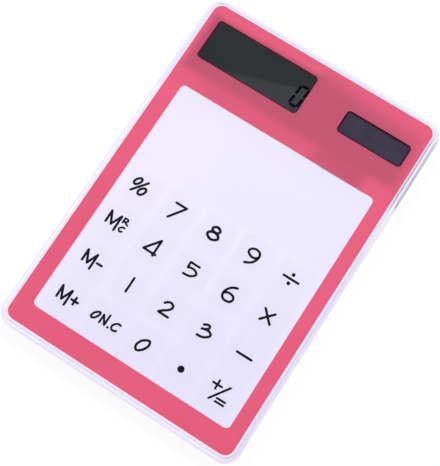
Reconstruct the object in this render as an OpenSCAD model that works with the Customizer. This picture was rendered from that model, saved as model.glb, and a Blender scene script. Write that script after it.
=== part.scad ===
// Slim desk calculator with a clear touch panel, a rose film frame, a segment display and a solar cell.
// The origin is the middle of the footprint on the table. +Y points to the display end, +Z out of the front.

/* [Case] */
// Width of the clear case
case_w = 82; // [76:0.5:92]
// Length of the clear case
case_l = 120; // [112:0.5:135]
// Radius of the case's corners, seen from the front
case_corner_r = 5.2; // [4.8:0.1:8]
// Radius of the round shoulder along the front edge
shoulder_r = 1.8; // [1.2:0.1:2]
// Radius of the round edge along the back
back_edge_r = 1.2; // [0.6:0.1:1.4]
// Width of the rim between the lens pocket and the case's side
rim_w = 1.35; // [1:0.05:1.8]
// Width of the ledge that carries the lens
ledge_w = 2; // [1.4:0.1:2.4]
// Thickness of the floor under the touch panel
floor_t = 1.4; // [1:0.1:2]
// Thickness of the wall between the touch panel and the bay
bay_wall_t = 1.2; // [0.8:0.1:1.6]
// Diameter of the two bosses that take the cover's screws
boss_d = 3; // [2.6:0.1:3.4]

/* [Lens and film] */
// Thickness of the front lens
lens_t = 1.5; // [1:0.1:2]
// Height of the lens above the rim
lens_proud = 0.8; // [0.3:0.1:1]
// Radius of the lens's front edge
lens_edge_r = 0.4; // [0.2:0.1:0.6]
// Gap round the lens in its pocket
lens_fit = 0.1; // [0.05:0.05:0.3]
// Thickness of the rose film
film_t = 0.2; // [0.1:0.05:0.4]
// Distance from the lens's edge to the film's edge
film_inset = 0.8; // [0.4:0.1:1.2]
// Thickness of the adhesive tape under the film
tape_t = 0.2; // [0.2:0.05:0.4]

/* [Windows] */
// Film left of the touch window
touch_left = 5.2; // [4:0.1:7]
// Film right of the touch window
touch_right = 4.5; // [4:0.1:7]
// Film below the touch window
touch_bottom = 6.8; // [5:0.1:9]
// Film above the touch window
touch_top = 28.15; // [27:0.05:34]
// Corner radius of the touch window
touch_corner_r = 1.6; // [0.8:0.1:3]
// Width of the display window
display_window_w = 35.7; // [30:0.1:38]
// Height of the display window
display_window_h = 13.9; // [12:0.1:14.5]
// Film left of the display window
display_left = 3.45; // [3:0.05:5]
// Film above the display window
display_top = 4.5; // [4:0.1:5]
// Width of the solar window
solar_window_w = 22.3; // [20:0.1:24]
// Height of the solar window
solar_window_h = 7.8; // [6:0.1:9]
// Film right of the solar window
solar_right = 3.3; // [2.9:0.1:5]
// Film above the solar window
solar_top = 8.3; // [7.5:0.1:9]
// Corner radius of the display and solar windows
window_corner_r = 1.3; // [0.6:0.1:2]

/* [Touch keys] */
// Thickness of the touch film
touch_film_t = 0.2; // [0.1:0.05:0.2]
// Overlap of the touch film past its window
touch_border = 1.6; // [1:0.1:2]
// Number of key columns
key_columns = 5; // [4:1:5]
// Number of key rows
key_rows = 4; // [4:1:5]
// Distance from key to key
key_pitch = 13.1; // [12:0.1:13.3]
// Side of a key's square electrode
key_size = 11.4; // [9:0.1:11.8]
// Corner radius of an electrode
key_corner_r = 1.5; // [0.5:0.1:3]
// Thickness of the electrodes
electrode_t = 0.05; // [0.03:0.01:0.1]
// Height of the bottom row above the window's lower edge
key_first_row = 7.35; // [6:0.05:9]
// Thickness of the tail
tail_t = 0.12; // [0.08:0.01:0.15]
// Radius of the tail's bend, inside
tail_bend_r = 1; // [0.6:0.1:1.2]

/* [Display] */
// Thickness of each display glass
glass_t = 0.7; // [0.5:0.05:1.1]
// Thickness of each polariser
polariser_t = 0.2; // [0.1:0.05:0.3]
// Thickness of the seal between the glasses
seal_t = 0.1; // [0.05:0.05:0.2]
// Width of the seal
seal_w = 1; // [0.6:0.1:1.4]
// Glass outside the display window
display_border = 0.9; // [0.7:0.1:1.1]
// Overhang of the front glass that carries the contacts
contact_ledge = 2.4; // [2.2:0.1:2.8]
// Wall of the display holder
holder_wall = 0.9; // [0.7:0.1:1]
// Width of the holder's ledge under the rear glass
holder_ledge = 1.2; // [1:0.1:1.6]
// Width of the rubber contact strip
contact_strip_w = 1.5; // [1.2:0.1:1.7]

/* [Solar cell] */
// Thickness of the solar cell's glass
solar_glass_t = 1.1; // [0.7:0.1:1.4]
// Glass outside the solar window
solar_border = 1.2; // [1:0.1:1.4]
// Number of strips on the cell
solar_strip_count = 4; // [3:1:6]
// Gap between the strips
solar_strip_gap = 0.4; // [0.2:0.1:0.8]
// Thickness of the strips
solar_strip_t = 0.1; // [0.05:0.05:0.2]
// Diameter of the two solar leads
lead_d = 0.6; // [0.4:0.1:0.7]

/* [Circuit board] */
// Thickness of the board
board_t = 0.8; // [0.6:0.1:1.2]
// Height of the posts that carry the board
board_stand = 0.3; // [0.2:0.1:0.6]
// Least room between the board and the display
display_lift = 1; // [0.9:0.1:1.6]
// Diameter of the resin drop over the chip
chip_d = 8; // [6:0.5:10]
// Height of the resin drop
chip_h = 0.7; // [0.5:0.1:0.8]
// Wall of the socket beside the tail
socket_cheek = 0.8; // [0.6:0.1:1]
// Width of the socket
socket_w = 2.6; // [2.2:0.1:3]
// Height of the socket
socket_h = 1.2; // [1:0.1:1.6]
// Length of a chip capacitor
capacitor_l = 1.6; // [1:0.1:2]
// Width and height of a chip capacitor
capacitor_w = 0.8; // [0.5:0.1:1]
// Diameter of the board screws
board_screw_d = 1.2; // [1:0.1:1.4]

/* [Button cell] */
// Diameter of the button cell
cell_d = 11.6; // [9.5:0.1:12]
// Height of the button cell
cell_h = 2.05; // [1.6:0.05:2.3]
// Diameter of the cell's cap
cell_cap_d = 9.6; // [8:0.1:9.8]
// Height of the cap above the can
cell_cap_h = 0.25; // [0.15:0.05:0.4]
// Radius of the can's round edges
cell_edge_r = 0.25; // [0.1:0.05:0.4]
// Radius of the cap's round edge
cell_cap_r = 0.15; // [0.05:0.05:0.2]
// Width of the seal's groove round the cap
cell_seal_w = 0.3; // [0.2:0.05:0.4]
// Depth of the seal's groove
cell_seal_depth = 0.15; // [0.1:0.05:0.3]
// Thickness of the contact springs
contact_t = 0.2; // [0.15:0.05:0.25]
// Width of the contact springs
contact_w = 2; // [1.6:0.1:2.2]

/* [Bay cover] */
// Thickness of the cover's plate
cover_t = 1.2; // [1.1:0.05:1.6]
// Overlap of the cover on the case's back
cover_overlap = 1; // [0.8:0.1:1.6]
// Corner radius of the cover
cover_corner_r = 2.6; // [2:0.1:4]
// Radius of the cover's outer edge
cover_edge_r = 0.6; // [0.3:0.1:0.8]
// Thickness of the lip that centres the cover
lip_t = 1; // [0.7:0.1:1.1]
// Height of the lip inside the case
lip_h = 0.7; // [0.4:0.1:0.8]
// Thickness of the deck over the battery door
deck_t = 0.6; // [0.4:0.1:0.7]
// Wall of the ring round the button cell
well_wall = 0.8; // [0.6:0.1:1]
// Width of the two hooks at the display end
hook_w = 6; // [4:0.5:10]
// Thickness of the hooks
hook_t = 0.8; // [0.6:0.1:1]
// Reach of the hooks into the case
hook_reach = 0.9; // [0.6:0.1:1.2]
// Distance of the hooks from the middle
hook_x = 18; // [10:0.5:28]
// Diameter of the cover's screws
screw_d = 1.4; // [1.2:0.1:1.6]
// Diameter of the screw heads
screw_head_d = 2.4; // [2.2:0.1:2.8]
// Height of the screw heads
screw_head_h = 0.7; // [0.5:0.1:0.8]
// Length of the cover's screws under the head
screw_l = 3; // [2.2:0.1:3.4]

/* [Battery door] */
// Thickness of the door
door_t = 1; // [0.9:0.05:1.05]
// Door past the button cell on each side
door_margin = 2.2; // [1.8:0.1:2.6]
// Door past the button cell at its closed end
door_end = 1.2; // [1:0.1:1.4]
// Width of the tongue along each side of the door
tongue_w = 0.8; // [0.5:0.1:1]
// Thickness of the tongue
tongue_t = 0.5; // [0.4:0.05:0.6]
// Number of grip grooves in the door
groove_count = 5; // [3:1:7]
// Width of a grip groove
groove_w = 0.6; // [0.4:0.1:0.8]
// Depth of a grip groove
groove_depth = 0.3; // [0.2:0.05:0.4]

/* [Feet] */
// Height of the cover above the table
pad_h = 0.4; // [0.3:0.1:0.8]
// Depth of the pads' recess in the cover
pad_recess = 0.3; // [0.2:0.1:0.5]
// Length of a pad
pad_l = 14; // [10:0.5:20]
// Width of a pad
pad_w = 2; // [1.6:0.1:2.4]
// Distance of the pads from the middle
pad_x = 25; // [16:0.5:28]
// Diameter of a foot at the keypad end
foot_d = 4.4; // [3:0.1:5.5]
// Distance of the feet from the touch window
foot_inset = 0.4; // [0:0.1:1]
// Distance of the feet from the middle
foot_x = 31; // [24:0.5:34]
// Radius of a foot's lower edge
foot_edge_r = 0.8; // [0.4:0.1:1]

/* [Fits] */
// Gap between pieces that are set into one another
fit = 0.1; // [0.05:0.05:0.15]
// Gap round a screw in its pilot hole
screw_fit = 0.02; // [0.01:0.01:0.05]
// Gap round the sliding door
slide_fit = 0.15; // [0.1:0.05:0.25]
// Gap between the open door and the case's back
door_run_gap = 0.3; // [0.2:0.05:0.5]
// Gap between the film and the glass behind it
film_gap = 0.1; // [0.05:0.05:0.2]
// Gap between the board or holder and the bay's walls
bay_clear = 0.9; // [0.8:0.1:1.2]

/* [Hidden] */
$fn = 48;

// Cuts run past the faces that they open by this much
past = 1;

// Outlines of the case, the lens and the film
pocket_w = case_w - 2 * rim_w;
pocket_l = case_l - 2 * rim_w;
pocket_corner_r = case_corner_r - rim_w;
lens_w = pocket_w - 2 * lens_fit;
lens_l = pocket_l - 2 * lens_fit;
lens_corner_r = pocket_corner_r - lens_fit;
film_w = lens_w - 2 * film_inset;
film_l = lens_l - 2 * film_inset;
film_corner_r = lens_corner_r - film_inset;
inside_x = pocket_w / 2 - ledge_w;
inside_y = pocket_l / 2 - ledge_w;
inside_corner_r = max(pocket_corner_r - ledge_w, 0.5);

// Edges of the three windows
touch_x0 = touch_left - film_w / 2;
touch_x1 = film_w / 2 - touch_right;
touch_y0 = touch_bottom - film_l / 2;
touch_y1 = film_l / 2 - touch_top;
display_x0 = display_left - film_w / 2;
display_x1 = display_x0 + display_window_w;
display_y1 = film_l / 2 - display_top;
display_y0 = display_y1 - display_window_h;
solar_x1 = film_w / 2 - solar_right;
solar_x0 = solar_x1 - solar_window_w;
solar_y1 = film_l / 2 - solar_top;
solar_y0 = solar_y1 - solar_window_h;

// Edges of the display's glasses, of its holder and of the bay below them
glass_x0 = display_x0 - display_border;
glass_x1 = display_x1 + display_border;
glass_y1 = display_y1 + display_border;
rear_glass_y0 = display_y0 - display_border;
front_glass_y0 = rear_glass_y0 - contact_ledge;
holder_x0 = glass_x0 - fit - holder_wall;
holder_x1 = glass_x1 + fit + holder_wall;
holder_y0 = front_glass_y0 - fit - holder_wall;
holder_y1 = glass_y1 + fit + holder_wall;
bay_y0 = holder_y0 - bay_clear;
strip_y0 = front_glass_y0 + (contact_ledge - contact_strip_w) / 2;
strip_end = 2;

// Screws of the cover, outside the bay, and the edges of the cover
screw_x = inside_x - boss_d / 2 + fit;
screw_y = bay_y0 - boss_d / 2 - fit / 2;
screw_edge = 0.6;
cover_x = inside_x + cover_overlap;
cover_y0 = screw_y - screw_head_d / 2 - screw_edge;
cover_y1 = inside_y + cover_overlap;

// Edges of the solar glass, and the button cell behind it
solar_glass_x0 = solar_x0 - solar_border;
solar_glass_x1 = solar_x1 + solar_border;
solar_glass_y0 = solar_y0 - solar_border;
solar_glass_y1 = solar_y1 + solar_border;
strips_border = 0.2;
strips_x0 = solar_x0 - strips_border;
strips_x1 = solar_x1 + strips_border;
cell_y = (solar_y0 + solar_y1) / 2;
cell_fit = 0.15;
well_r = cell_d / 2 + cell_fit;

// The battery door, closed, and the deck over it, beside the board
door_x = cell_d / 2 + door_margin;
rail_edge = 1.2;
deck_x = door_x + slide_fit + tongue_w + rail_edge;
door_y0 = cover_y0;
door_y1 = cell_y + cell_d / 2 + door_end;
door_flush = 0.05;

// Levels from the table up to the front of the lens
cover_out_z = pad_h;
cover_in_z = cover_out_z + cover_t;
back_z = cover_in_z + door_run_gap;
floor_z = back_z + floor_t;
door_z = cover_out_z + door_flush;
door_in_z = door_z + door_t;
tongue_z = door_in_z - tongue_t;
cell_float = 0.15;
cell_z = door_in_z + cell_float;
cell_top_z = cell_z + cell_h;
contact_gap = 0.03;
contact_clear = 0.3;
display_stack = 2 * polariser_t + 2 * glass_t + seal_t;
display_need_z = cover_in_z + board_stand + board_t + display_lift + display_stack;
solar_need_z = cell_top_z + contact_gap + contact_t + contact_clear + solar_strip_t + solar_glass_t;
film_z = max(display_need_z, solar_need_z) + film_gap;
ledge_z = film_z - tape_t;
touch_z = film_z - touch_film_t;
lens_z = film_z + film_t;
top_z = lens_z + lens_t;
rim_z = top_z - lens_proud;
board_z = cover_in_z + board_stand;
board_top_z = board_z + board_t;
rear_polariser_z = film_z - film_gap - display_stack;
rear_glass_z = rear_polariser_z + polariser_t;
seal_z = rear_glass_z + glass_t;
front_glass_z = seal_z + seal_t;
front_polariser_z = front_glass_z + glass_t;
solar_z = film_z - film_gap - solar_glass_t;

// The circuit board and what stands on it, right of the display
board_x0 = -inside_x + fit + lip_t + fit;
board_x1 = solar_glass_x0 - 2 * fit;
board_y0 = holder_y0;
board_y1 = holder_y1;
deck_clear = 0.3;
cell_x = board_x1 + deck_clear + deck_x;
free_x = (holder_x1 + board_x1) / 2;
socket_clear = 0.3;
socket_l = board_x1 - holder_x1 - 2 * socket_clear;
tail_w = socket_l - 2 * socket_cheek;
socket_y = board_y0 + socket_w / 2 + fit;
board_screw_edge = 1.6;
board_screw_x = holder_x1 + board_screw_edge;
board_screw_y0 = socket_y + socket_w / 2 + board_screw_edge;
board_screw_y1 = board_y1 - board_screw_edge;
board_screw_head_d = 1.8 * board_screw_d;
board_screw_head_h = 0.5 * board_screw_d;
board_screw_depth = 0.9;
post_d = 3;

// The contact springs, side by side at the middle of the cell
contact_space = 0.8;
negative_y = cell_y - contact_space / 2 - contact_w / 2;
positive_y = cell_y + contact_space / 2 + contact_w / 2;
contact_tab = 2.4;
contact_x0 = board_x1 - contact_tab;
contact_past_middle = 1.5;
side_contact_x = cell_x - cell_d / 2 - fit - contact_t;
deck_top_z = cover_in_z + deck_t;
well_top_z = cell_top_z - contact_gap - cell_cap_h;

// Leads of the solar cell, outside the contact springs
lead_y = contact_space / 2 + contact_w + lead_d;
lead_x0 = board_x1 - lead_d;
lead_x1 = strips_x0 - fit;

// Flat outline of a rectangle with round corners
module round_rect(w, l, r) {
    square([w - 2 * r, l], center = true);
    square([w, l - 2 * r], center = true);
    for (x = [-1, 1], y = [-1, 1])
        translate([x * (w / 2 - r), y * (l / 2 - r)])
            circle(r);
}

// Block between two corners
module block(x0, x1, y0, y1, z0, z1) {
    translate([x0, y0, z0])
        cube([x1 - x0, y1 - y0, z1 - z0]);
}

// Block between two corners, with round upright edges
module round_block(x0, x1, y0, y1, z0, z1, r) {
    translate([(x0 + x1) / 2, (y0 + y1) / 2, z0])
        linear_extrude(z1 - z0)
            round_rect(x1 - x0, y1 - y0, r);
}

// Half section of a slab's edge: as deep as the corner radius, with its outer corners rounded
module edge_section(depth, h, r_low, r_high) {
    difference() {
        square([depth, h]);
        translate([depth - r_low, r_low])
            difference() {
                translate([0, -r_low - past])
                    square([r_low + past, r_low + past]);
                circle(r_low);
            }
        translate([depth - r_high, h - r_high])
            difference() {
                square(r_high + past);
                circle(r_high);
            }
    }
}

// Slab with round corners, whose edge section is carried along the sides and round the corners
module swept_slab(w, l, r, h, r_low, r_high) {
    linear_extrude(h)
        square([w - 2 * r, l - 2 * r], center = true);
    for (side = [0, 1]) {
        rotate(side * 180)
            translate([w / 2 - r, 0, 0])
                rotate([90, 0, 0])
                    linear_extrude(l - 2 * r, center = true)
                        edge_section(r, h, r_low, r_high);
        rotate(90 + side * 180)
            translate([l / 2 - r, 0, 0])
                rotate([90, 0, 0])
                    linear_extrude(w - 2 * r, center = true)
                        edge_section(r, h, r_low, r_high);
        rotate(side * 180) {
            translate([w / 2 - r, l / 2 - r, 0])
                rotate_extrude(angle = 90)
                    edge_section(r, h, r_low, r_high);
            translate([r - w / 2, l / 2 - r, 0])
                rotate(90)
                    rotate_extrude(angle = 90)
                        edge_section(r, h, r_low, r_high);
        }
    }
}

// Clear tray: rounded slab with the lens pocket, the hollow under the touch panel and the open bay
module rear_case() {
    color("lavender", 0.5)
        difference() {
            union() {
                difference() {
                    translate([0, 0, back_z])
                        swept_slab(case_w, case_l, case_corner_r, rim_z - back_z, back_edge_r, shoulder_r);
                    round_block(-pocket_w / 2, pocket_w / 2, -pocket_l / 2, pocket_l / 2,
                        ledge_z, top_z, pocket_corner_r);
                    round_block(-inside_x, inside_x, -inside_y, bay_y0 - bay_wall_t,
                        floor_z, top_z, inside_corner_r);
                    round_block(-inside_x, inside_x, bay_y0, inside_y,
                        back_z - past, top_z, inside_corner_r);
                }
                for (x = [-1, 1])
                    translate([x * screw_x, screw_y, floor_z - fit])
                        cylinder(d = boss_d, h = ledge_z - floor_z);
            }
            for (x = [-1, 1])
                translate([x * screw_x, screw_y, back_z - past])
                    cylinder(d = screw_d + 2 * screw_fit, h = screw_l + past);
            for (x = [-1, 1])
                translate([x * hook_x, inside_y, back_z + hook_t / 2])
                    block(-hook_w / 2 - fit, hook_w / 2 + fit, -past, hook_reach + fit, 0, hook_t + 2 * fit);
        }
}

// Clear front lens with a rounded front edge
module front_lens() {
    color("ghostwhite", 0.4)
        translate([0, 0, lens_z])
            swept_slab(lens_w, lens_l, lens_corner_r, lens_t, lens_edge_r / 4, lens_edge_r);
}

// Rose film frame with its three windows
module colour_film() {
    color([0.9, 0.38, 0.5])
        difference() {
            round_block(-film_w / 2, film_w / 2, -film_l / 2, film_l / 2, film_z, lens_z, film_corner_r);
            round_block(touch_x0, touch_x1, touch_y0, touch_y1, film_z - past, lens_z + past, touch_corner_r);
            round_block(display_x0, display_x1, display_y0, display_y1,
                film_z - past, lens_z + past, window_corner_r);
            round_block(solar_x0, solar_x1, solar_y0, solar_y1,
                film_z - past, lens_z + past, window_corner_r);
        }
}

// Ring of clear adhesive tape between the film and the ledge
module lens_tape() {
    color("whitesmoke")
        difference() {
            round_block(-film_w / 2, film_w / 2, -film_l / 2, film_l / 2, ledge_z, film_z, film_corner_r);
            round_block(-inside_x, inside_x, -inside_y, inside_y,
                ledge_z - past, film_z + past, inside_corner_r);
        }
}

// Clear film that carries the key electrodes
module touch_film() {
    color("aliceblue", 0.5)
        round_block(touch_x0 - touch_border, touch_x1 + touch_border,
            touch_y0 - touch_border, touch_y1 + touch_border, touch_z, film_z, touch_corner_r);
}

// One clear electrode behind each key
module key_electrodes() {
    key_x = (touch_x0 + touch_x1) / 2 - (key_columns - 1) / 2 * key_pitch;
    color("lightcyan", 0.5)
        for (column = [0 : key_columns - 1], row = [0 : key_rows - 1])
            translate([key_x + column * key_pitch, touch_y0 + key_first_row + row * key_pitch,
                touch_z - electrode_t])
                linear_extrude(electrode_t)
                    round_rect(key_size, key_size, key_corner_r);
}

// Flat tail of the touch film, over the bay's wall and down into its socket
module touch_tail() {
    tail_top_z = film_z - (tape_t - tail_t) / 2;
    bend_y = socket_y - tail_bend_r - tail_t / 2;
    bend_z = tail_top_z - tail_t - tail_bend_r;
    tail_end_z = board_top_z + socket_h / 2;
    color("goldenrod")
        translate([free_x + tail_w / 2, 0, 0])
            rotate([90, 0, -90])
                linear_extrude(tail_w) {
                    translate([-bend_y, tail_top_z - tail_t])
                        square([bend_y - touch_y1 - touch_border, tail_t]);
                    translate([-bend_y, bend_z])
                        difference() {
                            circle(tail_bend_r + tail_t);
                            circle(tail_bend_r);
                            translate([0, -past - tail_bend_r])
                                square(2 * (tail_bend_r + past));
                            translate([-2 * tail_bend_r, -2 * tail_bend_r])
                                square([4 * tail_bend_r, 2 * tail_bend_r]);
                        }
                    translate([-bend_y - tail_bend_r - tail_t, tail_end_z])
                        square([tail_t, bend_z - tail_end_z]);
                }
}

// Socket on the board that grips the tail
module tail_socket() {
    color("ivory")
        difference() {
            block(free_x - socket_l / 2, free_x + socket_l / 2,
                socket_y - socket_w / 2, socket_y + socket_w / 2, board_top_z, board_top_z + socket_h);
            block(free_x - tail_w / 2 - fit, free_x + tail_w / 2 + fit,
                socket_y - tail_t / 2 - fit, socket_y + tail_t / 2 + fit,
                board_top_z + socket_h / 2 - fit, board_top_z + socket_h + past);
        }
}

// Dark polariser on the front glass
module front_polariser() {
    color("darkslategray")
        block(display_x0 - display_border / 2, display_x1 + display_border / 2,
            display_y0 - display_border / 2, display_y1 + display_border / 2,
            front_polariser_z, front_polariser_z + polariser_t);
}

// Front glass of the display, longer than the rear one by the contact ledge
module front_glass() {
    color("lightsteelblue", 0.5)
        block(glass_x0, glass_x1, front_glass_y0, glass_y1, front_glass_z, front_polariser_z);
}

// Seal round the liquid crystal
module glass_seal() {
    seal_inset = display_border / 3;
    color("gray")
        difference() {
            block(glass_x0 + seal_inset, glass_x1 - seal_inset,
                rear_glass_y0 + seal_inset, glass_y1 - seal_inset, seal_z, front_glass_z);
            block(glass_x0 + seal_inset + seal_w, glass_x1 - seal_inset - seal_w,
                rear_glass_y0 + seal_inset + seal_w, glass_y1 - seal_inset - seal_w,
                seal_z - past, front_glass_z + past);
        }
}

// Rear glass of the display
module rear_glass() {
    color("lightsteelblue", 0.5)
        block(glass_x0, glass_x1, rear_glass_y0, glass_y1, rear_glass_z, seal_z);
}

// Reflecting polariser behind the rear glass
module rear_polariser() {
    color("darkgray")
        block(glass_x0 + fit, glass_x1 - fit, rear_glass_y0 + fit, glass_y1 - fit,
            rear_polariser_z, rear_glass_z);
}

// Frame that seats on the board and carries the display
module display_holder() {
    color("dimgray")
        difference() {
            block(holder_x0, holder_x1, holder_y0, holder_y1, board_top_z, front_polariser_z - fit);
            block(glass_x0 - fit, glass_x1 + fit, front_glass_y0 - fit, glass_y1 + fit,
                rear_polariser_z, front_polariser_z);
            block(glass_x0 + holder_ledge, glass_x1 - holder_ledge,
                rear_glass_y0 + holder_ledge, glass_y1 - holder_ledge, board_top_z - past, rear_glass_z);
            block(glass_x0 + strip_end - fit, glass_x1 - strip_end + fit,
                strip_y0 - fit, strip_y0 + contact_strip_w + fit, board_top_z - past, front_glass_z);
        }
}

// Rubber strip that joins the board's pads to the front glass
module contact_strip() {
    color("pink")
        block(glass_x0 + strip_end, glass_x1 - strip_end, strip_y0, strip_y0 + contact_strip_w,
            board_top_z, front_glass_z);
}

// Glass of the solar cell
module solar_glass() {
    color("slateblue", 0.6)
        block(solar_glass_x0, solar_glass_x1, solar_glass_y0, solar_glass_y1,
            solar_z, solar_z + solar_glass_t);
}

// Dark strips on the back of the solar glass
module solar_strips() {
    strip_pitch = (strips_x1 - strips_x0 + solar_strip_gap) / solar_strip_count;
    color([0.2, 0.17, 0.24])
        for (i = [0 : solar_strip_count - 1])
            block(strips_x0 + i * strip_pitch, strips_x0 + (i + 1) * strip_pitch - solar_strip_gap,
                solar_y0 - strips_border, solar_y1 + strips_border, solar_z - solar_strip_t, solar_z);
}

// Two wires from the board to the solar cell's end, each bent once
module solar_leads() {
    lead_top_z = solar_z - fit / 2 - lead_d / 2;
    bend_r = lead_d;
    color("tomato")
        for (y = [-1, 1])
            translate([lead_x0, cell_y + y * lead_y, 0]) {
                translate([0, 0, board_top_z])
                    cylinder(d = lead_d, h = lead_top_z - bend_r - board_top_z);
                translate([bend_r, 0, lead_top_z - bend_r])
                    rotate([90, 0, 180])
                        rotate_extrude(angle = 90)
                            translate([bend_r, 0])
                                circle(d = lead_d);
                translate([bend_r, 0, lead_top_z])
                    rotate([0, 90, 0])
                        cylinder(d = lead_d, h = lead_x1 - lead_x0 - bend_r);
            }
}

// Circuit board on the cover's posts
module circuit_board() {
    color("seagreen")
        difference() {
            block(board_x0, board_x1, board_y0, board_y1, board_z, board_top_z);
            for (y = [board_screw_y0, board_screw_y1])
                translate([board_screw_x, y, board_z - past])
                    cylinder(d = board_screw_d + 2 * fit, h = board_t + 2 * past);
        }
}

// Resin drop over the chip, a slice of a ball
module chip_drop() {
    ball_r = (chip_d * chip_d / 4 + chip_h * chip_h) / (2 * chip_h);
    color("black")
        translate([(display_x0 + display_x1) / 2, (display_y0 + display_y1) / 2, board_top_z])
            rotate_extrude()
                intersection() {
                    translate([0, chip_h - ball_r])
                        circle(ball_r, $fn = 240);
                    square([chip_d, chip_h + past]);
                }
}

// Chip capacitors in a row beside the solar leads
module chip_capacitors() {
    capacitor_count = 2;
    capacitor_pitch = 2 * capacitor_w;
    capacitor_x = board_x1 - capacitor_l - fit;
    capacitor_y = cell_y + lead_y + lead_d;
    color("tan")
        for (i = [0 : capacitor_count - 1])
            translate([capacitor_x, capacitor_y + i * capacitor_pitch, board_top_z])
                cube([capacitor_l, capacitor_w, capacitor_w]);
}

// Screws that hold the board to the cover
module board_screws() {
    color("silver")
        for (y = [board_screw_y0, board_screw_y1])
            translate([board_screw_x, y, board_top_z]) {
                cylinder(d = board_screw_head_d, h = board_screw_head_h);
                translate([0, 0, -board_t - board_screw_depth])
                    cylinder(d = board_screw_d, h = board_t + board_screw_depth);
            }
}

// Button cell: round-edged can with its cap towards the front
module button_cell() {
    can_h = cell_h - cell_cap_h;
    color("gainsboro")
        translate([cell_x, cell_y, cell_z])
            rotate_extrude()
                difference() {
                    union() {
                        edge_section(cell_d / 2, can_h, cell_edge_r, cell_edge_r);
                        edge_section(cell_cap_d / 2, cell_h, cell_edge_r, cell_cap_r);
                    }
                    translate([cell_cap_d / 2, can_h - cell_seal_depth])
                        square([cell_seal_w, cell_seal_depth + past]);
                }
}

// Spring from the board to the side of the cell
module positive_contact() {
    color("darkgoldenrod") {
        block(contact_x0, side_contact_x + contact_t,
            positive_y - contact_w / 2, positive_y + contact_w / 2, board_top_z, board_top_z + contact_t);
        block(side_contact_x, side_contact_x + contact_t,
            positive_y - contact_w / 2, positive_y + contact_w / 2, deck_top_z + fit, well_top_z);
    }
}

// Spring from the board up and over the cap of the cell
module negative_contact() {
    arm_z = cell_top_z + contact_gap;
    color("darkgoldenrod") {
        block(contact_x0, board_x1, negative_y - contact_w / 2, negative_y + contact_w / 2,
            board_top_z, board_top_z + contact_t);
        block(board_x1 - contact_t, board_x1, negative_y - contact_w / 2, negative_y + contact_w / 2,
            board_top_z, arm_z + contact_t);
        block(board_x1 - contact_t, cell_x + contact_past_middle,
            negative_y - contact_w / 2, negative_y + contact_w / 2, arm_z, arm_z + contact_t);
    }
}

// Opening of the battery door: the door's outline, and the wider groove for its tongues
module door_opening() {
    open_x = door_x + slide_fit;
    block(-open_x, open_x, door_y0 - past, door_y1 + slide_fit, cover_out_z - past, cover_in_z);
    block(-open_x - tongue_w, open_x + tongue_w, door_y0 - past, door_y1 + slide_fit,
        tongue_z - slide_fit, cover_in_z);
    block(-open_x - tongue_w, open_x + tongue_w, door_y0 - past, bay_y0, tongue_z, back_z + past);
}

// Cover that closes the bay: a plinth with the door's track, the cell's well, posts, lips and hooks
module bay_cover() {
    lip_x = inside_x - fit;
    lip_y = inside_y - fit;
    hook_z = back_z + hook_t / 2 + fit;
    rest_w = solar_border - strips_border - 2 * fit;
    rest_l = solar_border;
    pad_y = (door_y1 + slide_fit + cover_y1 - cover_edge_r) / 2;
    color("whitesmoke")
        difference() {
            union() {
                difference() {
                    translate([0, (cover_y0 + cover_y1) / 2, cover_out_z])
                            swept_slab(2 * cover_x, cover_y1 - cover_y0, cover_corner_r,
                                back_z - cover_out_z, cover_edge_r, fit);
                    round_block(fit - inside_x, inside_x - fit, bay_y0 + fit, inside_y - fit,
                        cover_in_z, back_z + past, inside_corner_r);
                    translate([cell_x, 0, 0])
                        door_opening();
                }
                block(cell_x - deck_x, cell_x + deck_x, bay_y0 + 2 * fit, door_y1 + slide_fit + rail_edge,
                    cover_in_z, deck_top_z);
                translate([cell_x, cell_y, cover_in_z])
                    cylinder(r = well_r + well_wall, h = well_top_z - cover_in_z);
                for (x = [-1, 1])
                    block(x * lip_x - (1 + x) / 2 * lip_t, x * lip_x + (1 - x) / 2 * lip_t,
                        bay_y0 + inside_corner_r + fit, inside_y - inside_corner_r - fit,
                        cover_in_z, back_z + lip_h);
                for (x = [-1, 1])
                    block(x * hook_x - hook_w / 2, x * hook_x + hook_w / 2, lip_y - lip_t, lip_y,
                        cover_in_z, hook_z + hook_t);
                for (x = [-1, 1])
                    block(x * hook_x - hook_w / 2, x * hook_x + hook_w / 2,
                        lip_y - lip_t, inside_y + hook_reach, hook_z, hook_z + hook_t);
                for (y = [solar_glass_y0, solar_glass_y1 - rest_l])
                    block(solar_glass_x0 + fit, solar_glass_x0 + fit + rest_w, y, y + rest_l,
                        cover_in_z, solar_z);
                block(solar_glass_x1 - fit - rest_w, solar_glass_x1 - fit, solar_y0, solar_y1,
                    cover_in_z, solar_z);
                for (x = [board_x0 + post_d, board_screw_x], y = [board_screw_y0, board_screw_y1])
                    translate([x, y, cover_in_z])
                        cylinder(d = post_d, h = board_stand);
            }
            translate([cell_x, cell_y, cover_in_z - past])
                cylinder(r = well_r, h = cell_h + 2 * past);
            block(cell_x - well_r - well_wall - past, cell_x, negative_y - contact_w / 2 - fit,
                positive_y + contact_w / 2 + fit, deck_top_z, cell_top_z + past);
            for (y = [board_screw_y0, board_screw_y1])
                translate([board_screw_x, y, board_z - board_screw_depth])
                    cylinder(d = board_screw_d + 2 * screw_fit, h = board_screw_depth + past);
            for (x = [-1, 1])
                translate([x * screw_x, screw_y, cover_out_z]) {
                    translate([0, 0, -past])
                        cylinder(d = screw_d + 2 * fit, h = cover_t + 2 * past);
                    translate([0, 0, -past])
                        cylinder(d = screw_head_d + 2 * fit, h = screw_head_h + past);
                }
            for (x = [-1, 1])
                translate([x * pad_x, pad_y, cover_out_z - past])
                    linear_extrude(pad_recess + past)
                        round_rect(pad_l, pad_w, pad_w / 2 - fit / 2);
        }
}

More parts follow.
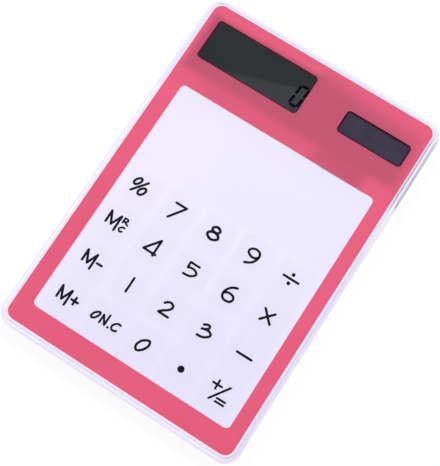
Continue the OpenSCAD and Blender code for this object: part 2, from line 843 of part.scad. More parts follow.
// Screws that hold the cover to the case's bosses, heads down
module cover_screws() {
    color("silver")
        for (x = [-1, 1])
            translate([x * screw_x, screw_y, cover_out_z]) {
                cylinder(d = screw_head_d, h = screw_head_h);
                cylinder(d = screw_d, h = screw_head_h + screw_l);
            }
}

// Rubber pads let into the cover
module cover_pads() {
    pad_y = (door_y1 + slide_fit + cover_y1 - cover_edge_r) / 2;
    color("dimgray")
        for (x = [-1, 1])
            translate([x * pad_x, pad_y, 0])
                linear_extrude(pad_h + pad_recess)
                    round_rect(pad_l - fit, pad_w - fit, pad_w / 2 - fit);
}

// Clear soft feet on the case's back at the keypad end
module case_feet() {
    color("aliceblue", 0.6)
        for (x = [-1, 1])
            translate([x * foot_x, touch_y0 - foot_inset - foot_d / 2, 0])
                rotate_extrude()
                    edge_section(foot_d / 2, back_z, foot_edge_r, fit);
}

// Sliding battery door with its two tongues and grip grooves
module battery_door() {
    groove_pitch = 2 * groove_w;
    groove_y0 = door_y0 + 2 * groove_pitch;
    groove_x = door_x - 2 * groove_pitch;
    color("white")
        translate([cell_x, 0, 0])
            difference() {
                union() {
                    block(-door_x, door_x, door_y0, door_y1, door_z, door_in_z);
                    block(-door_x - tongue_w, door_x + tongue_w, door_y0, door_y1, tongue_z, door_in_z);
                }
                for (i = [0 : groove_count - 1])
                    translate([0, groove_y0 + i * groove_pitch, door_z])
                        block(-groove_x, groove_x, 0, groove_w, -past, groove_depth);
            }
}

rear_case();
front_lens();
colour_film();
lens_tape();
touch_film();
key_electrodes();
touch_tail();
tail_socket();
front_polariser();
front_glass();
glass_seal();
rear_glass();
rear_polariser();
display_holder();
contact_strip();
solar_glass();
solar_strips();
solar_leads();
circuit_board();
chip_drop();
chip_capacitors();
board_screws();
button_cell();
positive_contact();
negative_contact();
bay_cover();
cover_screws();
cover_pads();
case_feet();
battery_door();
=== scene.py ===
import bmesh
import bpy
import numpy as np
from mathutils import Matrix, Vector
from mathutils.geometry import tessellate_polygon


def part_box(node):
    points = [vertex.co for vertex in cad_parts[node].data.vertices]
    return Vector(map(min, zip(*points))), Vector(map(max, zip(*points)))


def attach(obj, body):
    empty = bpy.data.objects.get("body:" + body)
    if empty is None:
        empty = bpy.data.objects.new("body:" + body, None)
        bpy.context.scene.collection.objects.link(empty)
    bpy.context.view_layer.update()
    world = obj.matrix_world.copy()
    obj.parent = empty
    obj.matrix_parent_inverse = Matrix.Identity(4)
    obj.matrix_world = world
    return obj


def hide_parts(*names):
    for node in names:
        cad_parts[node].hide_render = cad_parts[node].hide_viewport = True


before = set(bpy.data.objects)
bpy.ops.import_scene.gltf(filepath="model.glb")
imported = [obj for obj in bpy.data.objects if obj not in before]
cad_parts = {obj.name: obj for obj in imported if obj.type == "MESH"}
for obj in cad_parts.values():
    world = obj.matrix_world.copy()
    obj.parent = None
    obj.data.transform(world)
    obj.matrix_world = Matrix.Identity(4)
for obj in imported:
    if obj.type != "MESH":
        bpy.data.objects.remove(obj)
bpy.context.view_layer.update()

MM = 0.001


# Places in millimetres, from the frame. A box in plan is x from, x to, y from and y to

def corners_of(node):
    """The low and the high corner of a CAD node."""
    return [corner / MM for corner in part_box(node)]


def middle_of(node):
    """The middle of a CAD node's box."""
    low, high = corners_of(node)
    return (low + high) / 2


def plan_of(node):
    """A CAD node's box in plan."""
    low, high = corners_of(node)
    return low.x, high.x, low.y, high.y


def inset(box, left, right, near, far):
    """A box in plan drawn in by a margin at each side."""
    x0, x1, y0, y1 = box
    return x0 + left, x1 - right, y0 + near, y1 - far


def film_window(node, overlap):
    """The film's window over a CAD node: the node's plan drawn in by the film's overlap on every side."""
    return inset(plan_of(node), overlap, overlap, overlap, overlap)


FILM_LOW, FILM_HIGH = corners_of("colour_film")
FILM_CORNER = 2.95
TOUCH_WINDOW = film_window("touch_film", 1.6)
TOUCH_CORNER = 1.6
DISPLAY_WINDOW = film_window("front_polariser", 0.45)
SOLAR_WINDOW = film_window("solar_glass", 1.2)
SMALL_CORNER = 1.3
# The display's and the cell's faces, inside a painted shadow along their windows' edges
DISPLAY_FACE = inset(DISPLAY_WINDOW, 0.65, 0.6, 0.55, 0.7)
SOLAR_FACE = inset(SOLAR_WINDOW, 0.6, 0.6, 0.5, 0.65)

SOLAR_STRIPS = 4
SOLAR_GAP = 0.4
SOLAR_X0, SOLAR_X1 = plan_of("solar_strips")[:2]
SOLAR_PITCH = (SOLAR_X1 - SOLAR_X0 + SOLAR_GAP) / SOLAR_STRIPS
SOLAR_EDGE = SOLAR_X0 - SOLAR_GAP / 2

# The resin drop on the chip lies under the display's middle
CHIP_MIDDLE = middle_of("front_polariser")
CELL_MIDDLE = middle_of("button_cell")
CAPACITOR_X = middle_of("chip_capacitors").x

# Copper on the board
PAD_PITCH = 0.9
CONTACT_PADS = inset(plan_of("contact_strip"), 0, 0, -0.1, -0.1)
RUN_PITCH = 1.15
DISPLAY_RUNS = (-34, -1, 38, 54)
SIDE_RUNS = (1.5, 10.5, 40.5, 52)

# Painted shade on the film, for the parts behind it that would shadow it:
# over the holder, short of the solar cell and along the bay's near edge
HOLDER_SHADE = (-37.2, 3.0, 30.0, 54.2)
CELL_SHADE = (11.5, 28.7, 29.0, 45.0)
EDGE_SHADE = (-30.0, 12.0, 27.0, 36.0)


# Shader maths

class Num:
    """A node's output used as a number: every operator adds one Math node to its finish."""

    def __init__(self, finish, socket):
        self.finish = finish
        self.socket = socket

    def math(self, operation, *terms):
        return self.finish.add("ShaderNodeMath", {"operation": operation}, dict(enumerate(terms)), 0)

    def __add__(self, other):
        return self.math("ADD", self, other)

    def __sub__(self, other):
        return self.math("SUBTRACT", self, other)

    def __rsub__(self, other):
        return self.math("SUBTRACT", other, self)

    def __mul__(self, other):
        return self.math("MULTIPLY", self, other)

    def __truediv__(self, other):
        return self.math("DIVIDE", self, other)

    __radd__ = __add__
    __rmul__ = __mul__

    def size(self):
        return self.math("ABSOLUTE", self)

    def lap(self):
        return self.math("FRACT", self)

    def root(self):
        return self.math("SQRT", self)

    def most(self, other):
        return self.math("MAXIMUM", self, other)

    def step(self, low, high):
        """0 below low and 1 above high, with a smooth step between them."""
        ends = {"Value": self, "From Min": low, "From Max": high}
        return self.finish.add("ShaderNodeMapRange", {"interpolation_type": "SMOOTHSTEP"}, ends, "Result")


class Web:
    """A node tree. The method add makes every node in it."""

    def __init__(self, tree):
        self.tree = tree
        self.tree.nodes.clear()

    def add(self, kind, settings=None, sockets=None, out=None):
        """Adds a node, sets its settings and then its sockets, and returns it or one output as a number."""
        node = self.tree.nodes.new(kind)
        for name, value in (settings or {}).items():
            setattr(node, name, value)
        for key, value in (sockets or {}).items():
            self.put(node.inputs[key], value)
        return node if out is None else Num(self, node.outputs[out])

    def put(self, socket, value):
        """Links a socket to a number or an output, or sets it to a plain value."""
        if isinstance(value, Num):
            value = value.socket
        if isinstance(value, bpy.types.NodeSocket):
            self.tree.links.new(value, socket)
        elif socket.type == "RGBA" and len(value) == 3:
            socket.default_value = (*value, 1.0)
        else:
            socket.default_value = value

    def parts(self, vector):
        """The three numbers of a vector."""
        split = self.add("ShaderNodeSeparateXYZ", {}, {0: vector})
        return [Num(self, split.outputs[k]) for k in range(3)]


class Finish(Web):
    """A material with one Principled shader."""

    def __init__(self, name, **constants):
        self.material = bpy.data.materials.new(name)
        self.material.use_nodes = True
        super().__init__(self.material.node_tree)
        self.shader = self.add("ShaderNodeBsdfPrincipled")
        self.output = self.add("ShaderNodeOutputMaterial", {}, {"Surface": self.shader.outputs[0]})
        self.wear(**constants)

    def wear(self, **sockets):
        """Sets the shader's sockets, named with _ for each space."""
        for name, value in sockets.items():
            self.put(self.shader.inputs[name.replace("_", " ")], value)

    def place(self):
        """The point's x, y and z in millimetres."""
        return [part / MM for part in self.parts(self.add("ShaderNodeTexCoord").outputs["Object"])]

    def noise(self, size, detail=2.0, stretch=(1, 1, 1)):
        """Noise from 0 to 1 whose lumps are about `size` millimetres, longer along a stretched axis."""
        point = self.add("ShaderNodeTexCoord").outputs["Object"]
        scale = tuple(1000 / size / s for s in stretch)
        placed = self.add("ShaderNodeMapping", {}, {"Vector": point, "Scale": scale})
        sockets = {"Vector": placed.outputs[0], "Scale": 1.0, "Detail": detail}
        return self.add("ShaderNodeTexNoise", {}, sockets, 0)

    def blend(self, first, second, share):
        """The first colour turned into the second by a share from 0 to 1."""
        mix = self.add("ShaderNodeMix", {"data_type": "RGBA"}, {0: share, 6: first, 7: second})
        return mix.outputs[2]

    def bump(self, height, depth):
        """A normal pressed by a height from 0 to 1 that stands for `depth` millimetres."""
        sockets = {"Height": height, "Distance": depth * MM, "Strength": 1.0}
        self.wear(Normal=self.add("ShaderNodeBump", {}, sockets).outputs[0])

    def shadow_free(self, tint):
        """Lets lamps through: shadow rays meet a clear shader of this tint instead of the glass."""
        ray = self.add("ShaderNodeLightPath").outputs["Is Shadow Ray"]
        clear = self.add("ShaderNodeBsdfTransparent", {}, {"Color": tint})
        both = {0: ray, 1: self.shader.outputs[0], 2: clear.outputs[0]}
        self.put(self.output.inputs["Surface"], self.add("ShaderNodeMixShader", {}, both).outputs[0])


def rgb(red, green, blue):
    """Linear colour of a display colour given from 0 to 255."""
    c = np.array([red, green, blue]) / 255
    return tuple(np.where(c <= 0.04045, c / 12.92, ((c + 0.055) / 1.055) ** 2.4))


def in_box(x, y, box, soft):
    """1 inside a box in plan and 0 outside: the product of four smooth steps, each `soft` to either side."""
    x0, x1, y0, y1 = box
    across = x.step(x0 - soft, x0 + soft) * (1 - x.step(x1 - soft, x1 + soft))
    return across * y.step(y0 - soft, y0 + soft) * (1 - y.step(y1 - soft, y1 + soft))


# Shapes

MERGE = 1e-8


def make_piece(name, points, faces, finish, slot, body="calculator", crease=None, stands_for=()):
    """A mesh piece from points in millimetres and faces, with doubles merged, riding on a body. With a
    crease it is smooth, apart from edges that turn by more than that many degrees, and without one flat."""
    mesh = bpy.data.meshes.new(name)
    mesh.from_pydata((np.asarray(points) * MM).tolist(), [], [list(map(int, f)) for f in faces])
    work = bmesh.new()
    work.from_mesh(mesh)
    bmesh.ops.remove_doubles(work, verts=work.verts, dist=MERGE)
    bmesh.ops.dissolve_degenerate(work, edges=work.edges, dist=MERGE)
    work.to_mesh(mesh)
    work.free()
    piece = bpy.data.objects.new(name, mesh)
    bpy.context.scene.collection.objects.link(piece)
    mesh.polygons.foreach_set("use_smooth", np.full(len(mesh.polygons), crease is not None))
    if crease is not None:
        mesh.set_sharp_from_angle(angle=np.radians(crease))
    mesh.materials.append(finish.material)
    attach(piece, body)
    if stands_for:
        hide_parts(*stands_for)


def eased_copy(name, node, finish, slot, drop, crease=30):
    """A copy of a CAD node, its doubles merged and its height drawn down towards its lowest face so that its
    top falls by `drop` millimetres, which keeps it out of the clear face that lies on it."""
    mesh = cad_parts[node].data
    points = np.zeros(len(mesh.vertices) * 3)
    mesh.vertices.foreach_get("co", points)
    points = points.reshape(-1, 3) / MM
    low, high = points[:, 2].min(), points[:, 2].max()
    corners = np.zeros(len(mesh.loops), int)
    mesh.loops.foreach_get("vertex_index", corners)
    spots, same = np.unique(points.round(5), axis=0, return_inverse=True)
    spots[:, 2] = low + (spots[:, 2] - low) * (1 - drop / (high - low))
    faces = same.reshape(-1)[corners].reshape(-1, 3)
    make_piece(name, spots, faces, finish, slot, crease=crease, stands_for=[node])


def ring_faces(rows, columns):
    """Quads between rows of points, each row a ring whose last point joins its first."""
    r, c = np.mgrid[0:rows - 1, 0:columns]
    d = (c + 1) % columns
    quads = np.stack([r * columns + c, r * columns + d, (r + 1) * columns + d, (r + 1) * columns + c], -1)
    return quads.reshape(-1, 4)


def join(parts):
    """One list of points and one of faces from several, each with its own count."""
    points, faces, count = [], [], 0
    for p, f in parts:
        points.append(np.asarray(p))
        faces += [[int(i) + count for i in face] for face in f]
        count += len(p)
    return np.concatenate(points), faces


def round_outline(x0, x1, y0, y1, r, steps=16):
    """A rectangle with quarter circles of radius r at its corners, anticlockwise."""
    turn = np.linspace(0, np.pi / 2, steps)
    quarter = np.stack([np.cos(turn), np.sin(turn)], -1) * r
    spin = np.array([[0, 1], [-1, 0]])
    corners = [(x1 - r, y1 - r), (x0 + r, y1 - r), (x0 + r, y0 + r), (x1 - r, y0 + r)]
    return np.concatenate([quarter @ np.linalg.matrix_power(spin, k) + c for k, c in enumerate(corners)])


def plate(outlines, z0, z1):
    """A plate between two heights. Its faces are the triangles between the outlines, of which the first is
    the outside and the rest are windows. Its walls carry each outline from the lower height to the upper."""
    flat = np.concatenate(outlines)
    count = len(flat)
    triangles = np.array(tessellate_polygon([[(*p, 0.0) for p in line] for line in outlines]))
    a, b, c = (flat[triangles[:, k]] for k in range(3))
    turn = (b[:, 0] - a[:, 0]) * (c[:, 1] - a[:, 1]) - (b[:, 1] - a[:, 1]) * (c[:, 0] - a[:, 0])
    triangles = np.where(turn[:, None] > 0, triangles, triangles[:, ::-1])
    points = np.concatenate([np.c_[flat, np.full(count, z0)], np.c_[flat, np.full(count, z1)]])
    faces = (triangles + count).tolist() + triangles[:, ::-1].tolist()
    first = 0
    for k, line in enumerate(outlines):
        i = np.arange(len(line))
        j = (i + 1) % len(line)
        x, y = line.T
        wall = np.stack([i, j, j + count, i + count], -1) + first
        anticlockwise = np.sum(x * np.roll(y, -1) - y * np.roll(x, -1)) > 0
        faces += (wall if anticlockwise == (k == 0) else wall[:, ::-1]).tolist()
        first += len(line)
    return points, faces


# Steps of a screw's mesh: round it, across its face, round its rim and along a lap of its thread
ROUND_STEPS, FACE_STEPS, RIM_STEPS, LAP_STEPS = 56, 15, 6, 7


def screw(middle, face_z, way, head, shank, pitch):
    """A cross-head screw as one turned surface of row and angle. Its rows run from the middle of the head's
    face out to the rim, round the rim's quarter circle, under the head, along the shank and in to the tip.
    The face sinks where either arm of the cross covers it, and the shank's radius is a cosine of height
    less turn, which winds into a thread. Head and shank are each a radius and a length. `way` is 1 where
    the shank points up and -1 where it points down."""
    head_r, head_h = head
    shank_r, shank_l = shank
    edge, thread = 0.22 * head_h, 0.16 * shank_r
    turn = np.arange(ROUND_STEPS) / ROUND_STEPS * 2 * np.pi
    face_r = np.linspace(0, head_r - edge, FACE_STEPS)
    arc = np.linspace(0, np.pi / 2, RIM_STEPS)[1:]
    shank_z = np.linspace(head_h, head_h + shank_l, int(shank_l / pitch * LAP_STEPS))
    r = np.r_[face_r, head_r - edge + edge * np.sin(arc), head_r, np.full(len(shank_z), shank_r), 0]
    z = np.r_[face_r * 0, edge - edge * np.cos(arc), head_h, shank_z, head_h + shank_l]
    r, z = (np.repeat(v[:, None], len(turn), 1) for v in (r, z))
    rows = slice(len(face_r) + len(arc) + 1, -1)
    ease = np.minimum(1, (head_h + shank_l - shank_z) / pitch)[:, None]
    wave = 0.5 - 0.5 * np.cos(2 * np.pi * shank_z[:, None] / pitch - turn)
    r[rows] = (shank_r - thread * wave) * (0.45 + 0.55 * ease)
    x, y = r * np.cos(turn), r * np.sin(turn)

    def arm(across, along):
        """1 on an arm of the cross, falling to 0 over its slanted walls."""
        sides = np.clip((0.21 * head_r - np.abs(across)) / (0.08 * head_r), 0, 1)
        ends = np.clip((0.62 * head_r - np.abs(along)) / (0.16 * head_r), 0, 1)
        return sides * ends

    sunk = np.maximum(arm(x, y), arm(y, x)) * 0.6 * head_h
    z[:len(face_r)] += sunk[:len(face_r)]
    points = np.stack([middle[0] + x, middle[1] + y, face_z + way * z], -1).reshape(-1, 3)
    faces = ring_faces(len(z), len(turn))
    return points, faces if way > 0 else faces[:, ::-1]


def pen_path(marks, spacing=0.12):
    """A smooth path through marks: on each span the cubic whose slope at a mark is half the step from the
    mark before it to the mark after it. Marks that end where they begin make a closed loop."""
    p = np.asarray(marks, float)
    if len(p) == 2:
        return p
    closed = np.allclose(p[0], p[-1])
    before = p[-2] if closed else 2 * p[0] - p[1]
    after = p[1] if closed else 2 * p[-1] - p[-2]
    q = np.vstack([before, p, after])
    steps = int(np.ceil(np.linalg.norm(np.diff(p, axis=0), axis=1).max() / spacing))
    t = (np.arange(steps) / steps)[None, :, None]
    a, b, c, d = q[:-3, None], q[1:-2, None], q[2:-1, None], q[3:, None]
    curve = b + t * (c - a) / 2 + t**2 * (2 * a - 5 * b + 4 * c - d) / 2 + t**3 * (3 * b - a - 3 * c + d) / 2
    return np.vstack([curve.reshape(-1, 2), p[-1:]])


def pen_stroke(marks, width, z0, z1, cap_steps=6):
    """A printed stroke: a flat bar carried along the pen's path, whose half width follows a half circle past
    each end of the path, with its upper edges drawn in by a quarter of its thickness."""
    path = pen_path(marks)
    along = np.gradient(path, axis=0)
    along /= np.linalg.norm(along, axis=1)[:, None]
    turn = np.linspace(0, np.pi / 2, cap_steps + 1)[1:]
    head = path[0] - along[0] * np.sin(turn[::-1])[:, None] * width / 2
    tail = path[-1] + along[-1] * np.sin(turn)[:, None] * width / 2
    half = np.r_[np.cos(turn[::-1]), np.ones(len(path)), np.cos(turn)] * width / 2
    path = np.vstack([head, path, tail])
    along = np.vstack([np.repeat(along[:1], cap_steps, 0), along, np.repeat(along[-1:], cap_steps, 0)])
    side = np.stack([-along[:, 1], along[:, 0]], -1)
    edge = (z1 - z0) / 4
    reach = np.stack([-half, -half, edge - half, half - edge, half, half], -1)
    reach = np.sign(reach) * np.minimum(np.abs(reach), half[:, None])
    height = np.array([z0, z1 - edge, z1, z1, z1 - edge, z0])
    plan = path[:, None] + side[:, None] * reach[..., None]
    rows, columns = reach.shape
    points = np.concatenate([plan, np.broadcast_to(height[:, None], (rows, columns, 1))], -1)
    return points.reshape(-1, 3), ring_faces(rows, columns)


# Finishes

def clear_plastic(name, tint, rim_tint, shaded_rim_tint, wall_and_shade_tint, wall, frost):
    """Polished clear moulding: glass of the plastic's index with a trace of haze. Its lavender tint follows
    the distance beyond the film's edge, which is that from a smaller rectangle less the corner radius. It
    is deeper in the thick rim, with a painted shade along its right side short of the bay, and deepest in
    the outer wall, which sets in between the two distances of `wall`, where the thick wall's tint is partly
    a painted shade for the shadowed floor that the wall shows. Frost roughens a wall that is cut."""
    finish = Finish(name, Transmission_Weight=1.0, IOR=1.49)
    haze = finish.noise(9.0, 3.0)
    x, y = finish.place()[:2]
    reach_x = (x.size() - (FILM_HIGH.x - FILM_CORNER)).most(0.0)
    reach_y = (y.size() - (FILM_HIGH.y - FILM_CORNER)).most(0.0)
    out = (reach_x * reach_x + reach_y * reach_y).root() - FILM_CORNER
    in_wall = out.step(*wall)
    # Painted shade along the rim's right side, short of the bay
    shaded_right_side = x.step(35, 39) * (1 - y.step(6, 26))
    rim = finish.blend(rim_tint, shaded_rim_tint, shaded_right_side)
    edge = finish.blend(rim, wall_and_shade_tint, in_wall)
    finish.wear(Base_Color=finish.blend(tint, edge, out.step(0.1, 0.9)),
                Roughness=0.03 * haze.step(0.35, 0.9) + frost * in_wall)
    finish.shadow_free(np.sqrt(tint))
    return finish


def rose_film():
    """Printed film: rose ink with a fine screen grain, and a painted shade, darker where the bay's parts lie
    right behind it.
    """
    finish = Finish("rose_film", Specular_IOR_Level=0.3)
    x, y = finish.place()[:2]
    grain = finish.noise(0.16, 1.0)
    drift = finish.noise(30.0, 1.0)
    # Painted shade: these masks darken the rose where the bay's parts lie behind the film
    bay = y.step(32.9, 36.7)
    display = in_box(x, y, HOLDER_SHADE, 1.0) * bay
    middle = x.step(-2, 2) * (1 - x.step(34.5, 39.5)) * bay * (1 - (y + 0.1 * x).step(51.4, 59.4))
    cell = in_box(x, y, CELL_SHADE, 2.2)
    edge = in_box(x, y, EDGE_SHADE, 4.0)
    # 1 where no painted shade falls on the film
    unshaded = (1 - display) * (1 - middle) * (1 - 0.8 * cell) * (1 - 0.14 * y.step(27, 35) - 0.25 * edge)
    tone = 0.5 + 0.5 * (grain - 0.5) + 0.6 * (drift - 0.5)
    light = finish.blend(rgb(227, 88, 120), rgb(238, 100, 132), tone)
    shaded_rose = finish.blend(rgb(188, 76, 105), rgb(200, 85, 115), tone)
    finish.wear(Base_Color=finish.blend(shaded_rose, light, unshaded), Roughness=0.34 + 0.16 * grain)
    finish.bump(grain, 0.004)
    return finish


BLANK_TINT = (0.05, 0.05, 1.0)


def clear_film(name, alpha, top, bottom):
    """Thin clear film: a light veil whose tint runs from one end of the touch panel to the other as a
    painted shade, darker towards the near end and the right, and which is bluer in the blank field past the
    keys, where no electrode lies on it."""
    finish = Finish(name, Alpha=alpha, Roughness=0.25)
    x, y = finish.place()[:2]
    mottle = finish.noise(22.0, 2.0)
    # Painted shade: the veil darkens towards the near end and the right
    share = (y - 0.6 * x + 6 * (mottle - 0.5)).step(-75, 45)
    blank = y.step(0.5, 3.0) * (1 - 0.6 * y.step(14, 28)) * (0.6 + 0.4 * x.step(-34, 0))
    finish.wear(Base_Color=finish.blend(finish.blend(bottom, top, share), BLANK_TINT, 0.45 * blank))
    return finish


def print_ink():
    """Screen-printed ink: near black with a breath of violet, slightly uneven in gloss."""
    finish = Finish("print_ink", Specular_IOR_Level=0.05)
    grain = finish.noise(0.12, 2.0)
    ink = finish.blend(rgb(22, 18, 32), rgb(34, 29, 46), grain)
    finish.wear(Base_Color=ink, Roughness=0.45 + 0.25 * grain)
    return finish


# Painted shadow along the display's and the cell's window edges, where the film's cut edge shades them
WINDOW_EDGE_SHADOW = rgb(66, 22, 38)
# Where the painted reflection on the polariser begins: a point and its slope
GLARE_X, GLARE_Y = -17.0, 42.5
GLARE_SLOPE = 0.352


def dark_polariser():
    """Display polariser: dark grey-green film with a drawn grain and a slow unevenness, with a painted
    reflection of the room that makes it paler below a slanted line, and a painted shadow along the window's
    edge."""
    finish = Finish("dark_polariser", Specular_IOR_Level=0.25)
    drawn = finish.noise(0.3, 2.0, (1, 30, 1))
    cloud = finish.noise(12.0, 2.0)
    x, y = finish.place()[:2]
    # The face inside the painted shadow along the window's edge
    face = in_box(x, y, DISPLAY_FACE, 0.3)
    # Painted reflection: paler below a slanted line
    pale = 1 - (y - GLARE_Y - GLARE_SLOPE * (x - GLARE_X)).step(-0.7, 0.7)
    grey = finish.blend(rgb(31, 38, 39), rgb(39, 45, 47), 0.3 * drawn + 0.7 * cloud)
    grey = finish.blend(grey, rgb(57, 62, 65), 0.85 * pale)
    finish.wear(Base_Color=finish.blend(WINDOW_EDGE_SHADOW, grey, face), Roughness=0.3 + 0.15 * drawn)
    return finish


def segment_ink():
    """Dark display segment: the liquid crystal where it is switched on."""
    finish = Finish("segment_ink", Specular_IOR_Level=0.0)
    cloud = finish.noise(1.5, 2.0)
    finish.wear(Base_Color=finish.blend(rgb(1, 1, 3), rgb(5, 6, 9), cloud), Roughness=0.4 + 0.2 * cloud)
    return finish


def solar_face(name):
    """Solar cell seen through its glass: violet-brown strips, a thin paler scribe line between each two, and
    a painted shadow along the window's edge.
    """
    finish = Finish(name, Specular_IOR_Level=0.3, Roughness=0.12)
    x, y = finish.place()[:2]
    lap = ((x - SOLAR_EDGE) / SOLAR_PITCH).lap()
    line = (lap - 0.5).size().step(0.47, 0.495)
    cloud = finish.noise(4.0, 3.0)
    strip = finish.blend(rgb(60, 56, 70), rgb(70, 66, 80), cloud)
    # The face inside the painted shadow along the window's edge
    face = in_box(x, y, SOLAR_FACE, 0.3)
    cell = finish.blend(strip, rgb(84, 80, 94), 0.35 * line)
    finish.wear(Base_Color=finish.blend(WINDOW_EDGE_SHADOW, cell, face))
    return finish


def moulded(name, low, high, rough=0.45):
    """Moulded plastic or rubber: two near tones, and the fine spark-eroded grain of the mould."""
    finish = Finish(name)
    grain = finish.noise(0.14, 3.0)
    cloud = finish.noise(7.0, 2.0)
    tone = 0.35 * grain + 0.65 * cloud
    finish.wear(Base_Color=finish.blend(low, high, tone), Roughness=rough + 0.2 * (grain - 0.5))
    finish.bump(grain, 0.006)
    return finish


def clear_rubber():
    """Clear soft rubber: a lightly clouded glass of low gloss."""
    tint = (0.95, 0.94, 0.98)
    finish = Finish("clear_rubber", Transmission_Weight=1.0, IOR=1.42, Base_Color=tint)
    cloud = finish.noise(0.6, 2.0)
    finish.wear(Roughness=0.2 + 0.15 * cloud)
    finish.shadow_free(tint)
    return finish


def metal(name, low, high, rough=0.28):
    """Plated or rolled metal: fine drawn lines in the gloss and a slight drift of tone."""
    finish = Finish(name, Metallic=1.0)
    drawn = finish.noise(0.08, 2.0, (1, 12, 1))
    cloud = finish.noise(1.8, 2.0)
    finish.wear(Base_Color=finish.blend(low, high, cloud), Roughness=rough + 0.22 * (drawn - 0.5))
    finish.bump(drawn, 0.002)
    return finish


def layered(name, low, high, mark, pitch, width):
    """Plastic, rubber or film with lines of another colour: a line covers `width` of each lap of `pitch`
    along x."""
    finish = Finish(name)
    grain = finish.noise(0.1, 2.0)
    lap = (finish.place()[0] / pitch).lap()
    line = 1 - (lap - 0.5).size().step(width / 2 - 0.05, width / 2 + 0.05)
    ground = finish.blend(low, high, grain)
    finish.wear(Base_Color=finish.blend(ground, mark, line), Roughness=0.4 + 0.2 * grain - 0.1 * line)
    finish.bump(line, 0.01)
    return finish


def capacitor_body():
    """Chip capacitor: fired ceramic between two tinned ends."""
    finish = Finish("capacitor_body")
    x = finish.place()[0]
    grain = finish.noise(0.09, 2.0)
    ends = (x - CAPACITOR_X).size().step(0.44, 0.5)
    ceramic = finish.blend(rgb(168, 130, 90), rgb(196, 158, 114), grain)
    finish.wear(Base_Color=finish.blend(ceramic, (0.72, 0.72, 0.7), ends), Metallic=ends,
                Roughness=0.5 - 0.15 * ends + 0.1 * grain)
    finish.bump(grain, 0.004)
    return finish


def cell_steel():
    """Nickel-plated button cell: turned rings in the gloss, a dark seal round the cap, and a plain plus
    stamped into the can's face."""
    finish = Finish("cell_steel")
    x, y, z = finish.place()
    x -= CELL_MIDDLE.x
    y -= CELL_MIDDLE.y
    out = (x * x + y * y).root()
    cloud = finish.noise(1.6, 3.0)
    ring = (out / 0.16).lap()
    seal = out.step(4.78, 4.84) * (1 - out.step(5.06, 5.12)) * z.step(3.0, 3.1)
    arm_x = (1 - x.size().step(1.9, 2.0)) * (1 - y.size().step(0.28, 0.36))
    arm_y = (1 - y.size().step(1.9, 2.0)) * (1 - x.size().step(0.28, 0.36))
    plus = arm_x.most(arm_y) * (1 - z.step(1.7, 1.8))
    nickel = finish.blend((0.66, 0.66, 0.64), (0.79, 0.79, 0.77), cloud)
    nickel = finish.blend(nickel, (0.42, 0.42, 0.41), 0.8 * plus)
    finish.wear(Base_Color=finish.blend(nickel, rgb(52, 58, 54), seal), Metallic=1 - seal,
                Roughness=0.2 + 0.1 * ring + 0.12 * plus + 0.25 * seal)
    finish.bump(0.1 * ring - plus, 0.03)
    return finish


def board_laminate():
    """Circuit board: green lacquer over copper, whose runs show as paler lines, with gilt pads under the
    rubber contact strip and a white ring round the resin drop."""
    finish = Finish("board_laminate")
    x, y, z = finish.place()
    weave = finish.noise(0.35, 2.0)
    cloud = finish.noise(6.0, 2.0)
    lap_x = ((x / PAD_PITCH).lap() - 0.5).size()
    lap_y = ((y / RUN_PITCH).lap() - 0.5).size()
    from_x = x - CHIP_MIDDLE.x
    from_y = y - CHIP_MIDDLE.y
    out = (from_x * from_x + from_y * from_y).root()
    runs_x = (1 - lap_x.step(0.12, 0.17)) * in_box(x, y, DISPLAY_RUNS, 0.1)
    runs_y = (1 - lap_y.step(0.12, 0.17)) * in_box(x, y, SIDE_RUNS, 0.1)
    runs = runs_x.most(runs_y) * out.step(4.9, 5.0)
    front = z.step(2.5, 2.6)
    pads = (1 - lap_x.step(0.27, 0.31)) * in_box(x, y, CONTACT_PADS, 0.05) * front
    ring = out.step(4.45, 4.52) * (1 - out.step(4.72, 4.79)) * front
    lacquer = finish.blend(rgb(24, 84, 52), rgb(36, 104, 66), 0.4 * weave + 0.6 * cloud)
    lacquer = finish.blend(lacquer, rgb(58, 132, 84), 0.7 * runs)
    lacquer = finish.blend(lacquer, rgb(226, 228, 222), 0.9 * ring)
    finish.wear(Base_Color=finish.blend(lacquer, (0.83, 0.6, 0.27), pads), Metallic=pads,
                Roughness=0.3 + 0.1 * weave + 0.2 * ring)
    finish.bump(0.3 * weave + 0.7 * runs.most(pads), 0.02)
    return finish


# Printed legends, by a key's column and row from the near left: strokes in millimetres from its middle

